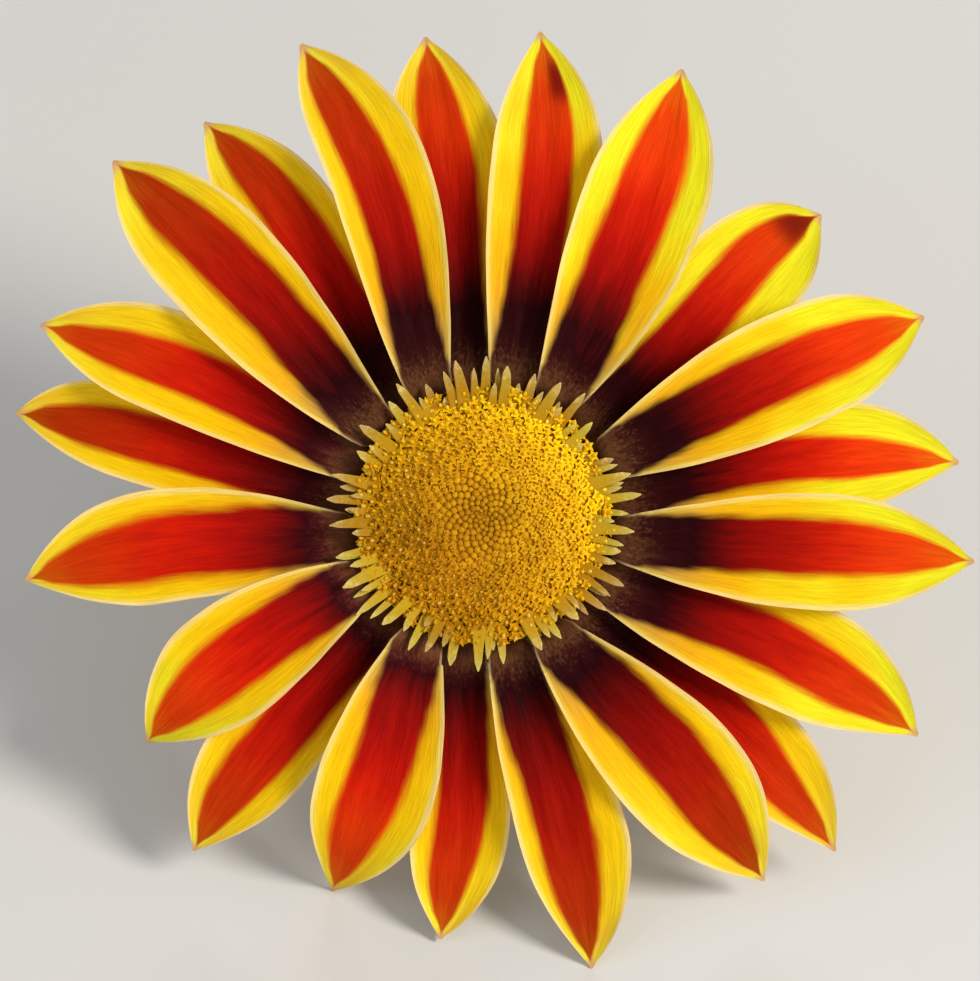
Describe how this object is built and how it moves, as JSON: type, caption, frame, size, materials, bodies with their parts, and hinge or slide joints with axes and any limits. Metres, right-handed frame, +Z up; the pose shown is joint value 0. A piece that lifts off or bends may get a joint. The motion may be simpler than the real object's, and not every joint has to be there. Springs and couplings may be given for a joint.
{
  "type": "gazania",
  "caption": "Picked gazania bloom lying on a surface: red-striped yellow ray petals round a golden disc, green involucre, bare cut scape.",
  "frame": {"origin": "centre of the bounding box, on the surface that the bloom lies on", "axes": "+Z up; the bloom faces -Y and 45 degrees upwards; the scape runs back along +Y"},
  "size_m": [0.0852, 0.107, 0.0592],
  "materials": {
    "petal": "satin petal tissue: red stripe down the middle, golden yellow margins, near-black maroon at the base",
    "disc": "matt, dusty with pollen, amber to golden",
    "bract": "satin green leaf tissue",
    "scape": "satin green stalk with fine pale hairs"
  },
  "bodies": {
    "root": {"scape": "scape", "involucre": "bract", "disc": "disc", "ray_01": "petal", "ray_02": "petal", "ray_03": "petal", "ray_04": "petal", "ray_05": "petal", "ray_06": "petal", "ray_07": "petal", "ray_08": "petal", "ray_09": "petal", "ray_10": "petal", "ray_11": "petal", "ray_12": "petal", "ray_13": "petal", "ray_14": "petal", "ray_15": "petal", "ray_16": "petal", "ray_17": "petal", "ray_18": "petal", "ray_19": "petal", "ray_20": "petal", "ray_21": "petal"}
  },
  "joints": []
}
